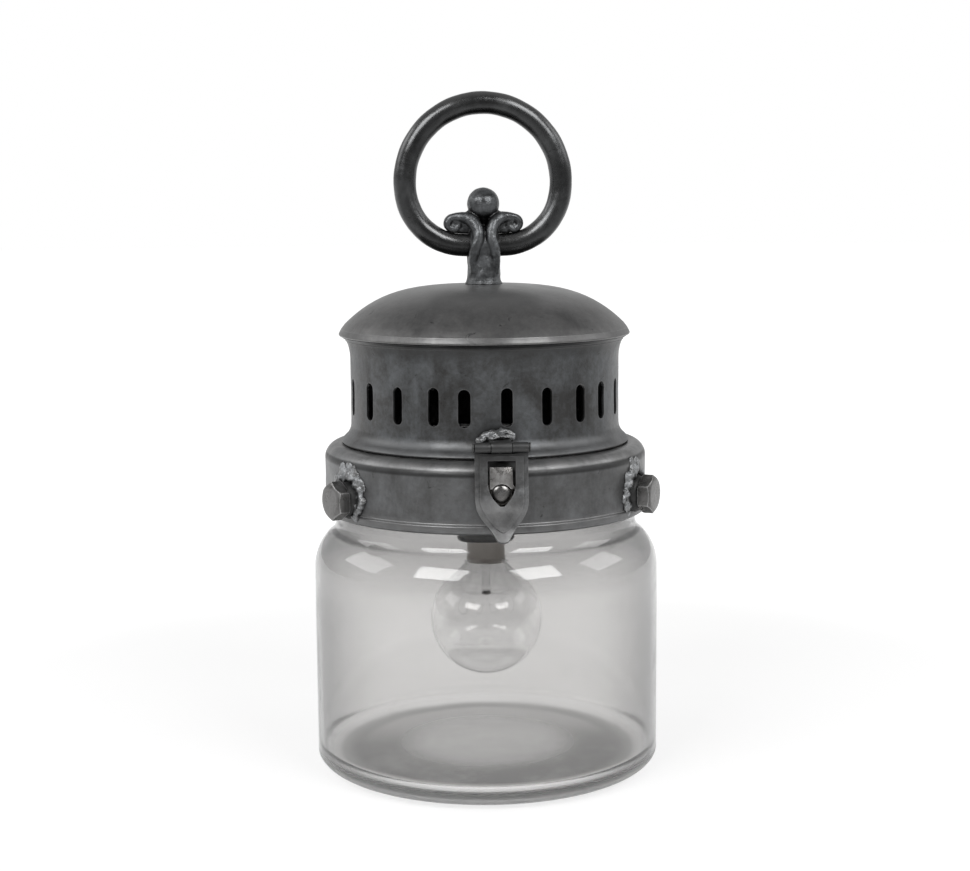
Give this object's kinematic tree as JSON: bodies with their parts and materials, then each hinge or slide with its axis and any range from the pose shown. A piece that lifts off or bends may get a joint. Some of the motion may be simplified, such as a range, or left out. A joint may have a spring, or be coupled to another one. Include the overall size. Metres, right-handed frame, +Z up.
{
  "type": "stable lantern",
  "caption": "Metal stable lantern with a wide glass jar, a slotted hinged lid, a front hasp, a cast post with a ring handle and a bulb inside.",
  "frame": {"origin": "centre of the circle that the jar stands on, on the floor", "axes": "+Z up through the post and the ring, -Y towards the hasp at the front, +Z is the longest extent"},
  "size_m": [0.1794, 0.1908, 0.3489],
  "materials": {
    "collar_metal": "dull lead-grey, brushed",
    "drum_metal": "dark lead-grey, hammered and worn",
    "dome_metal": "lead-grey, spun",
    "casting": "rough cast, dark grey",
    "ring_metal": "dark, rubbed smooth",
    "bare_steel": "bare, scratched",
    "dark_steel": "dull",
    "nickel": "nickel plated",
    "bakelite": "black, satin",
    "rubber": "black, matt",
    "jar_glass": "clear, faintly smoky, polished",
    "bulb_glass": "clear, polished"
  },
  "bodies": {
    "base": {"glass_jar": "jar_glass", "collar_ring": "collar_metal", "screw_boss_rear": "collar_metal", "screw_boss_left": "collar_metal", "screw_boss_right": "collar_metal", "keeper_plate": "bare_steel", "keeper_stud": "nickel", "hinge_leaf_lower": "collar_metal", "lid_hinge_pin": "dark_steel"},
    "lid": {"vent_drum": "drum_metal", "cable_bush": "rubber", "hinge_leaf_upper": "drum_metal", "bridge_strap": "dark_steel", "dome_cap": "dome_metal", "hasp_lug": "drum_metal", "handle_post": "casting", "post_washer": "dark_steel", "post_nut": "dark_steel", "locknut_upper": "nickel", "locknut_lower": "nickel", "threaded_tube": "nickel", "lampholder_cap": "bakelite", "lampholder_body": "bakelite", "lampholder_core": "bakelite", "bulb_glass": "bulb_glass", "bulb_cap": "nickel", "bulb_stem": "bulb_glass", "bulb_filament": "dark_steel"},
    "hasp": {"hasp_plate": "casting", "hasp_pin": "dark_steel"},
    "ring": {"ring_handle": "ring_metal"},
    "screw_rear": {"clamp_screw_rear": "bare_steel"},
    "screw_left": {"clamp_screw_left": "bare_steel"},
    "screw_right": {"clamp_screw_right": "bare_steel"}
  },
  "joints": [
    {"name": "lid_hinge", "type": "hinge", "parent": "base", "child": "lid", "pos_m": [0, 0.092, 0.17], "axis": [-1, 0, 0], "range_deg": [0, 105]},
    {"name": "hasp_swing", "type": "hinge", "parent": "lid", "child": "hasp", "pos_m": [0, -0.087, 0.178], "axis": [-1, 0, 0], "range_deg": [0, 150]},
    {"name": "ring_swing", "type": "hinge", "parent": "lid", "child": "ring", "pos_m": [0, 0, 0.271], "axis": [-1, 0, 0], "range_deg": [-110, 110]},
    {"name": "screw_rear_slide", "type": "slide", "parent": "base", "child": "screw_rear", "axis": [0, 1, 0], "range_m": [0, 0.003]},
    {"name": "screw_left_slide", "type": "slide", "parent": "base", "child": "screw_left", "axis": [-0.866, -0.5, 0], "range_m": [0, 0.003]},
    {"name": "screw_right_slide", "type": "slide", "parent": "base", "child": "screw_right", "axis": [0.866, -0.5, 0], "range_m": [0, 0.003]}
  ]
}
